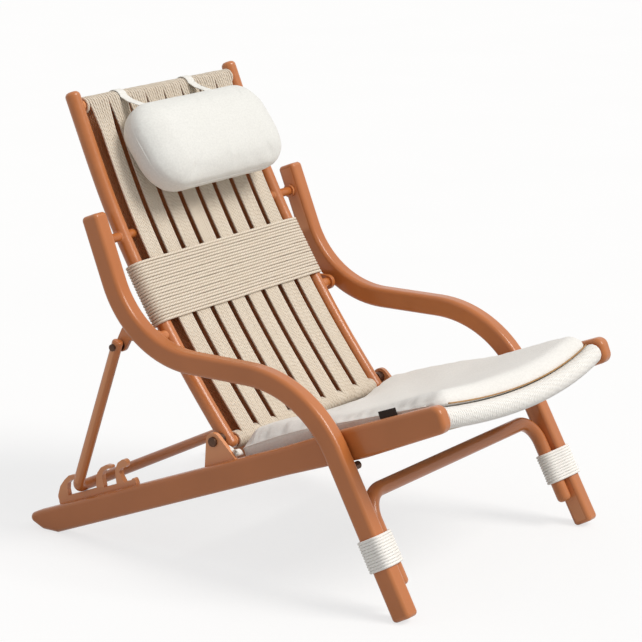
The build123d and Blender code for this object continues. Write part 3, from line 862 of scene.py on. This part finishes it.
# Seat straps under the cushion: the same ropes, from the rear bar to the front coil
for number, station in enumerate(strap_stations, start=1):
    bundle = RopeBundle()
    for k in range(ropes_in_strap):
        x = station + (k - (ropes_in_strap - 1) / 2) * rope_pitch
        front_place = bar_line(x)
        bulge = 1 - (x / rail_inner_x) ** 2
        rear_place = rail_point(rear_bar_along, rear_bar_up - rear_bow_down * bulge)
        way = (front_place - rear_place) / np.linalg.norm(front_place - rear_place)
        up = np.array([way[1], -way[0]])
        run = front_place - way * (coil_radius + rope_radius) - rear_place
        shares = np.linspace(0, 1, seat_strap_steps)
        top = [rear_place + strap_layer * up + run * t for t in reversed(shares)]
        low = [rear_place - strap_layer * up + run * t for t in shares]
        round_back = [rear_place + strap_layer * (math.cos(a) * up - math.sin(a) * way)
                      for a in np.linspace(0, math.pi, strap_turn_steps)[1:-1]]
        path = [(x, *p) for p in top + round_back + low]
        bundle.add(path, (1, 0, 0), start=chance.uniform(0, 1))
    bundle.finish(f"rope_seat_strap_{number}", rope, "seat_frame", [f"seat_strap_{number}"])

# Soft pieces: a flat closed form is puffed by a short cloth run and then laid in its place


def loft_loops(name, loops):
    """A closed mesh through closed loops of points, each with as many points, capped at both ends."""
    faces = ring_faces(0, len(loops), len(loops[0]))
    return new_mesh(name, [p for loop in loops for p in loop], faces)


def lens_loops(half, ends, faces):
    """Loops across a form of two faces: along the lower face and back along the upper one."""
    loops = []
    for across in half * np.sin(np.linspace(-math.pi / 2, math.pi / 2, lens_steps)) * lens_trim:
        rear, front = ends(across)
        alongs = rear + (front - rear) * (1 - np.cos(np.linspace(0, math.pi, lens_steps))) / 2
        heights = [faces(across, along) for along in alongs]
        low = [(across, along, under) for along, (under, _) in zip(alongs, heights)]
        high = [(across, along, top) for along, (_, top) in zip(alongs, heights)]
        loops.append(low + high[-2:0:-1])
    return loops


def mesh_points(mesh):
    points = np.empty(len(mesh.vertices) * 3)
    mesh.vertices.foreach_get("co", points)
    return points.reshape(-1, 3)


def applied(piece):
    """The piece's mesh with its modifiers applied."""
    bpy.context.view_layer.update()
    graph = bpy.context.evaluated_depsgraph_get()
    mesh = bpy.data.meshes.new_from_object(piece.evaluated_get(graph))
    piece.modifiers.clear()
    return mesh


def puff(name, loops, voxel, pressure, cap):
    """Even out a closed form and blow it up a little. cap gives how far each start point may move."""
    piece = new_object(name, loft_loops(name, loops))
    remesh = piece.modifiers.new("even_mesh", "REMESH")
    remesh.mode = "VOXEL"
    remesh.voxel_size = voxel
    piece.data = applied(piece)
    start = mesh_points(piece.data)
    cloth = piece.modifiers.new("puff", "CLOTH")
    cloth.settings.use_pressure = True
    cloth.settings.uniform_pressure_force = pressure
    cloth.settings.effector_weights.gravity = 0.0
    cloth.settings.quality = 4
    cloth.point_cache.frame_start = 1
    cloth.point_cache.frame_end = puff_frames
    for step in range(1, puff_frames + 1):
        bpy.context.scene.frame_set(step)
    move = mesh_points(applied(piece)) - start
    bpy.context.scene.frame_set(1)
    far = np.linalg.norm(move, axis=1)
    end = start + move * np.minimum(1.0, cap(start) / np.maximum(far, 1e-9))[:, None]
    return piece, start, end


def lay_points(piece, points, place):
    """Write the piece's points through a placing function, and smooth it by one subdivision."""
    laid = np.array([place(*p) for p in points])
    piece.data.vertices.foreach_set("co", laid.ravel())
    piece.data.update()
    finer = piece.modifiers.new("finer", "SUBSURF")
    finer.levels = 1
    finer.render_levels = 1
    piece.data = applied(piece)


def ripple(place, size, seed):
    """Smooth noise of about -1 to 1 with folds of a given size."""
    return noise_at(Vector(place) / size + Vector((seed, 0.3 * seed, 0.7 * seed)))


# Seat cushion. Its flat form has x across, y along the rails and z up from them.
half_width = pad_half - pad_start_inset
rear_end_along = pad_rear + pad_start_inset
front_end_along = pad_front - pad_start_inset


def height_line(points):
    """Heights above the rails as a smooth function of the place along them."""
    line = spline(points)
    samples = np.array([line(t) for t in np.linspace(0, 1, height_steps)])
    return lambda along: np.interp(along, samples[:, 0], samples[:, 1])


under_up = height_line(pad_under_line)
seam_up = height_line(pad_seam_line)
top_up = height_line(pad_top_line)


def rim_gaps(across, along):
    """How far a place lies inside the side, rear and front seams."""
    return half_width - abs(across), along - rear_end_along, front_end_along - along


def swell(gap, reach):
    """The share of its full height that the cover has at a distance from a seam."""
    return math.sin(clamped(gap / reach) * math.pi / 2)


def nose(gap, reach):
    """As swell, for the rounder front edge."""
    return math.sqrt(1 - (1 - clamped(gap / reach)) ** 2)


def pad_faces(across, along):
    """The heights of the underside and of the top at a place in plan."""
    side_gap, rear_gap, front_gap = rim_gaps(across, along)
    seam = seam_up(along)
    over = swell(side_gap, pad_top_reach) * swell(rear_gap, pad_top_reach)
    over *= nose(front_gap, pad_nose_reach)
    below = swell(side_gap, pad_under_reach) * swell(rear_gap, pad_under_reach)
    below *= nose(front_gap, pad_under_nose_reach)
    fade = min(rear_gap / pad_crown_fade, 1.0)
    crown = pad_rear_crown + (pad_crown - pad_rear_crown) * fade
    bulge = 1 - (across / pad_half) ** 2
    rear_share = max(1 - rear_gap / pad_bump_reach, 0.0)
    lift = sum(size * math.exp(-((across - x) / width) ** 2) for x, width, size in pad_rear_bumps)
    top = top_up(along) + crown * bulge + lift * rear_share
    return seam - (seam - under_up(along)) * below, seam + (top - seam) * over


def seat_place(across, along, up):
    """The place of a point of the flat cushion, with the seat's sag and its bowed front."""
    share = (along - pad_rear) / (pad_front - pad_rear)
    bulge = 1 - (across / pad_half) ** 2
    return (across, *rail_point(along + front_bow_out * bulge * share, up - seat_sag * bulge))


def plan_ends(across):
    """The rear and front ends of the cushion's rounded plan at a station across."""
    over = max(abs(across) - (half_width - pad_plan_corner), 0.0)
    pull = pad_plan_corner - math.sqrt(max(pad_plan_corner ** 2 - over ** 2, 0.0))
    return rear_end_along + pull, front_end_along - pull


def pad_cap(points):
    """The underside stays on the ropes, and the top rises most away from the seams."""
    rim = np.minimum.reduce(rim_gaps(points[:, 0], points[:, 1]))
    inward = np.clip(rim / pad_rise_reach, 0.0, 1.0)
    over = np.clip((points[:, 2] - seam_up(points[:, 1])) / pad_rise_band, 0.0, 1.0)
    return over * (pad_side_rise + (pad_top_rise - pad_side_rise) * inward)


def pad_folds(points):
    """Puckers that run in from the side and rear seams, and shallow wrinkles over the top."""
    folded = points.copy()
    for i, (across, along, up) in enumerate(points):
        side_gap, rear_gap, _ = rim_gaps(across, along)
        gap = min(side_gap, rear_gap)
        over = min(max((up - seam_up(along)) / pad_fold_band, -1.0), 1.0)
        near_seam = math.exp(-max(gap, 0.0) / pucker_reach)
        off_seam = clamped(gap / seam_calm)
        rearward = clamped((pad_front - along) / pucker_front_reach)
        rear_more = pucker_front_share + (1 - pucker_front_share) * rearward
        run = along if side_gap < rear_gap else across
        fold = ripple((run, 0.0, pucker_side_shift * math.copysign(1, across)), pucker_size, pucker_seed)
        pucker = pucker_depth * near_seam * off_seam * rear_more * over
        folded[i, 2] += pucker * (pucker_gain * fold - pucker_sink)
        slanted = (across * wrinkle_slant + along, (along - across) * wrinkle_stretch, 1.0)
        wrinkle = ripple(slanted, wrinkle_size, wrinkle_seed)
        reach = max(1 - max(rear_gap, 0.0) / wrinkle_reach, 0.0)
        more = wrinkle_front_share + (1 - wrinkle_front_share) * reach
        folded[i, 2] += wrinkle_depth * max(over, 0.0) * off_seam * more * wrinkle
    return folded


cushion, _, pad_end = puff("seat_pad", lens_loops(half_width, plan_ends, pad_faces), pad_voxel,
                           pad_pressure, pad_cap)
lay_points(cushion, pad_folds(pad_end), seat_place)
dress(cushion, seat_cloth, "seat_frame", ["seat_cushion"])

# Sewn edge along the cushion's sides and rear, in the same cloth
side_start = front_end_along - pad_plan_corner
side_end = rear_end_along + pad_plan_corner
edge_path = [(-half_width, along) for along in np.linspace(side_start, side_end, seam_side_steps)]
for turn in np.linspace(0, math.pi / 2, seam_turn_steps)[1:-1]:
    edge_path.append((-half_width + pad_plan_corner * (1 - math.cos(turn)),
                      rear_end_along + pad_plan_corner * (1 - math.sin(turn))))
for across in np.linspace(-half_width + pad_plan_corner, 0, seam_rear_steps):
    edge_path.append((across, rear_end_along))
edge_path += [(-across, along) for across, along in reversed(edge_path[:-1])]
bundle = RopeBundle()
bundle.add([seat_place(x, a, seam_up(a)) for x, a in edge_path], (0, 0, 1), radius=seam_cord_radius)
bundle.finish("seat_seam", seat_cloth, "seat_frame")

# A brown cord along the cushion's front edge: a painted shadow where the gap between the cushion and the
# front coil lies
bundle = RopeBundle()
shadow_cord_half = half_width - shadow_cord_end_gap
shadow_cord_up = seam_up(front_end_along) - shadow_cord_drop
bundle.add([seat_place(across, front_end_along + shadow_cord_out, shadow_cord_up)
            for across in np.linspace(-shadow_cord_half, shadow_cord_half, shadow_cord_steps)],
           (0, 0, 1), radius=shadow_cord_radius)
bundle.finish("seat_shadow_cord", shadow_cord_cloth, "seat_frame")

# Head pillow. Its flat form has x across, y up its length and z towards the sitter.
pillow_share = share_at_rise(pillow_rise_share)
pillow_origin = np.array([pillow_x, *off_stile(pillow_share, pillow_off)])
pillow_way = np.array([0.0, math.cos(math.radians(pillow_tilt)), math.sin(math.radians(pillow_tilt))])
pillow_out = np.array([0.0, -pillow_way[2], pillow_way[1]])
pillow_half_x = pillow_width / 2 - pillow_start_inset
pillow_half_y = pillow_height / 2 - pillow_start_inset
pillow_round = pillow_corner - pillow_start_inset


def pillow_place(across, up, out):
    """The place of a point of the flat pillow."""
    return pillow_origin + np.array([across, 0, 0]) + up * pillow_way + out * pillow_out


def pillow_gap(x, y):
    """How far a place lies inside the pillow's seam."""
    over_x = abs(x) - (pillow_half_x - pillow_round)
    over_y = abs(y) - (pillow_half_y - pillow_round)
    out = math.hypot(max(over_x, 0.0), max(over_y, 0.0)) + min(max(over_x, over_y), 0.0)
    return pillow_round - out


def pillow_ends(x):
    """The lower and upper ends of the pillow's rounded outline at a station across."""
    over = max(abs(x) - (pillow_width / 2 - pillow_corner), 0.0)
    half_y = pillow_height / 2 - pillow_corner + math.sqrt(max(pillow_round ** 2 - over ** 2, 0.0))
    return -half_y, half_y


def dome(gap, reach):
    """As swell, with the pillow's own roundness."""
    return (1 - (1 - clamped(gap / reach)) ** pillow_roundness) ** (1 / pillow_roundness)


def pillow_faces(x, y):
    """How far out the rear and the front lie at a place in plan."""
    gap = pillow_gap(x, y)
    rear = pillow_seam_out * (1 - dome(gap, pillow_rear_reach))
    front = pillow_seam_out + (pillow_full_out - pillow_seam_out) * dome(gap, pillow_front_reach)
    return rear, front


def pillow_cap(points):
    """The front swells most in its middle, and the rear stays on the ropes."""
    inward = np.array([clamped(pillow_gap(x, y) / pillow_front_reach) for x, y, _ in points])
    over = np.clip((points[:, 2] - pillow_seam_out) / pillow_rise_band, 0.0, 1.0)
    return over * (pillow_side_rise + (pillow_front_rise - pillow_side_rise) * inward)


def pillow_folds(points):
    """Puckers that run in from the seam, and long shallow waves over the front."""
    folded = points.copy()
    for i, (x, y, out) in enumerate(points):
        gap = max(pillow_gap(x, y), 0.0)
        near_seam = math.exp(-gap / pillow_pucker_reach) * min(gap / seam_calm, 1.0)
        turn = math.atan2(y / pillow_height, x / pillow_width)
        ring_place = (math.cos(turn) * pillow_pucker_circle, math.sin(turn) * pillow_pucker_circle, 0.0)
        fold = ripple(ring_place, pillow_pucker_size, pillow_pucker_seed)
        facing = math.copysign(1, out - pillow_seam_out)
        folded[i, 2] += pillow_pucker_depth * near_seam * fold * facing
        if facing > 0:
            wave = pillow_wave_depth * ripple((x, y, out), pillow_wave_size, pillow_wave_seed)
            folded[i, 2] += wave * min(gap / pillow_wave_calm, 1.0)
    return folded


pillow, pillow_start, pillow_end = puff("pillow", lens_loops(pillow_half_x, pillow_ends, pillow_faces),
                                        pillow_voxel, pillow_pressure, pillow_cap)
lay_points(pillow, pillow_folds(pillow_end), pillow_place)
dress(pillow, pillow_cloth, "back_frame", ["head_pillow"])


def moved(place):
    """Where the cloth run took a place on the pillow: the mean move of the nearest points."""
    gap = np.linalg.norm(pillow_start - place, axis=1)
    near = np.argpartition(gap, near_points)[:near_points]
    return place + np.mean(pillow_end[near] - pillow_start[near], axis=0)


# Sewn edge round the pillow
outline = [corner_point(turn, pillow_half_x, pillow_half_y, pillow_round)
           for turn in circle(pillow_turn_steps)]
outline = even_outline(outline, pillow_outline_steps)
seam = np.array([moved(np.array([x, y, pillow_seam_out])) for x, y in outline])
for _ in range(pillow_seam_passes):
    seam = (np.roll(seam, 1, axis=0) + 2 * seam + np.roll(seam, -1, axis=0)) / 4
bundle = RopeBundle()
bundle.add([pillow_place(*p) for p in seam], pillow_out, closed=True, radius=pillow_seam_radius)
bundle.finish("pillow_piping", pillow_cloth, "back_frame")

# Flat tapes
tape_section = [(-0.5, 0.0), (-0.46, 0.42), (-0.25, 0.5), (0.25, 0.5), (0.46, 0.42), (0.5, 0.0),
                (0.46, -0.42), (0.25, -0.5), (-0.25, -0.5), (-0.46, -0.42)]


def tape(path, side, width, thickness, name):
    """A flat tape along a path. side is the direction of its width."""
    loops = []
    for p, across, normal in zip(*square_frames(path, side)):
        loops.append([p + across * width * u + normal * thickness * v for u, v in tape_section])
    return loft_loops(name, loops)


# Loops that hang the pillow: up behind the back, over the top bar and down to the pillow's top seam
loop_radius = strap_layer + rope_radius + loop_thickness / 2 + rope_gap
top_seam = max(outline, key=lambda p: p[1])[1]
centre, way, out = stile_frame(top_share)
for side_name, loop_x in (("left", loop_left_x), ("right", loop_right_x)):
    points = [off_stile(share_near(centre - down * way), -loop_radius)
              for down in np.linspace(loop_tail, loop_tail_top, loop_tail_steps)]
    points += [round_bar(top_share, loop_radius, turn) for turn in np.linspace(math.pi, 0, loop_turn_steps)]
    seam_place = pillow_place(loop_x - pillow_x, top_seam, pillow_seam_out)[1:]
    last = centre + loop_radius * out - loop_drop * way
    for share in loop_front_shares:
        points.append(last + (seam_place - last) * share - loop_sag * share * (1 - share) * out)
    name = f"pillow_tape_{side_name}"
    mesh = tape([(loop_x, *p) for p in points], (1, 0, 0), loop_width, loop_thickness, name)
    dress(new_object(name, mesh), tape_cloth, "back_frame", [f"pillow_loop_{side_name}"])


# Bows that tie the cushion to the rear: a knot, two loops and two tails on each side


def tie_tape(points, knot, sign, way_y, lift, count, side):
    """One tape of a bow, smooth through its points. way_y mirrors it and lift raises some of them."""
    line = spline([knot + np.array([sign * out, along * way_y, up + lift * lifted])
                   for out, along, up, lifted in points])
    path = [line(t) for t in np.linspace(0, 1, count)]
    return tape(path, side, tie_tape_width, tie_tape_thickness, "tie")


tie_meshes = []
for sign in (-1, 1):
    knot = np.array([sign * (pad_half + tie_out), *node_middle("cushion_ties")])
    for way_y, lift in tie_loop_lifts:
        tie_meshes.append(tie_tape(tie_loop, knot, sign, way_y, lift, tie_loop_steps, (1, 0.2 * way_y, 0)))
        tie_meshes.append(tie_tape(tie_tail, knot, sign, way_y, 0.0, tie_tail_steps, (0.5, 0.8, 0.4)))
    turns = [knot + np.array([sign * (knot_out + knot_deep * math.cos(a)), 0, knot_high * math.sin(a)])
             for a in np.linspace(0, 2 * math.pi, knot_steps)]
    tie_meshes.append(tape(turns, (0, 1, 0), tie_tape_width * knot_width_share, tie_tape_thickness, "tie"))
vertices = []
faces = []
for mesh in tie_meshes:
    offset = len(vertices)
    vertices.extend(v.co for v in mesh.vertices)
    faces.extend(tuple(offset + i for i in face.vertices) for face in mesh.polygons)
dress(new_object("cushion_bows", new_mesh("cushion_bows", vertices, faces)), tape_cloth, "seat_frame",
      ["cushion_ties"])

# Blank tag on the cushion's right side, with a turned edge and a sewn line
tag_side_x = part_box("cushion_tag")[1][0]
vertices = []
for j in range(tag_rows + 1):
    v = j / tag_rows
    for i in range(tag_columns + 1):
        u = i / tag_columns
        edge = min(min(u, 1 - u) * tag_length, min(v, 1 - v) * tag_height)
        out = tag_lift + tag_thickness * min(edge / tag_rounding, 1.0)
        if edge < tag_turned_width:
            out += tag_turned_rise
        if abs(edge - tag_sewn_in) < tag_sewn_half and i % tag_stitch_columns:
            out -= tag_sewn_depth
        out += tag_wave_depth * math.sin(u * tag_wave_turn + tag_wave_start)
        place = rail_point(tag_along + (u - 0.5) * tag_length, tag_up + (v - 0.5) * tag_height)
        vertices.append((tag_side_x - out, *place))
faces = []
for j in range(tag_rows):
    for i in range(tag_columns):
        a = j * (tag_columns + 1) + i
        faces.append((a, a + 1, a + tag_columns + 2, a + tag_columns + 1))
dress(new_object("blank_tag", new_mesh("blank_tag", vertices, faces)), tag_cloth, "seat_frame",
      ["cushion_tag"])


# Camera, lights and floor


def plain_rays(tree):
    """1 for rays from the camera, mirrored ones and those through glass, which see plain white."""
    path = tree.nodes.new("ShaderNodeLightPath")
    seen = math_node(tree, "MAXIMUM", path.outputs["Is Camera Ray"], path.outputs["Is Glossy Ray"])
    return math_node(tree, "MAXIMUM", seen, path.outputs["Is Transmission Ray"])


camera = bpy.data.cameras.new("view")
camera.sensor_width = sensor_width
camera.lens = focal_pixels / frame_pixels * sensor_width
camera_object = new_object("view", camera)
azimuth = math.radians(camera_azimuth)
elevation = math.radians(camera_elevation)
right = Vector((math.cos(azimuth), math.sin(azimuth), 0))
back = Vector((math.sin(azimuth) * math.cos(elevation), -math.cos(azimuth) * math.cos(elevation),
               math.sin(elevation)))
up = back.cross(right)
turn = Matrix((right, up, back)).transposed().to_4x4()
camera_object.matrix_world = Matrix.Translation(camera_place) @ turn
bpy.context.scene.camera = camera_object

world = bpy.data.worlds.new("plain_sky")
bpy.context.scene.world = world
world.use_nodes = True
tree = world.node_tree
sky = tree.nodes["Background"]
sky.inputs["Color"].default_value = white
sky.inputs["Strength"].default_value = sky_level
seen = add_node(tree, "ShaderNodeBackground", Color=white, Strength=1.0)
mix_shader(tree, plain_rays(tree), sky.outputs["Background"], seen.outputs["Background"], "World Output")

sun = bpy.data.lights.new("key_light", "SUN")
sun.energy = sun_strength
sun.angle = math.radians(sun_angle)
sun.color = sun_colour
new_object("key_light", sun).rotation_euler = Vector(sun_from).to_track_quat("Z", "Y").to_euler()

half = floor_size / 2
corners = [(-half, -half, 0), (half, -half, 0), (half, half, 0), (-half, half, 0)]
mesh = new_mesh("floor", corners, [(0, 1, 2, 3)])
material, tree, shader = new_material("floor_pale", {"Roughness": 0.9, "Specular IOR Level": 0.0})
colour = ramp(tree, noise(tree, 2.0, 2.0), (0.3, grey(0.93)), (0.7, grey(0.95)))
plain = plain_rays(tree)
tree.links.new(mix_colour(tree, plain, grey(floor_bounce), colour), shader.inputs["Base Color"])
glow = add_node(tree, "ShaderNodeEmission", Color=white, Strength=1.0)
share = math_node(tree, "MULTIPLY", plain, floor_glow)
mix_shader(tree, share, shader.outputs["BSDF"], glow.outputs["Emission"], "Material Output")
mesh.materials.append(material)
new_object("floor", mesh)

bpy.context.scene.view_settings.view_transform = "Standard"
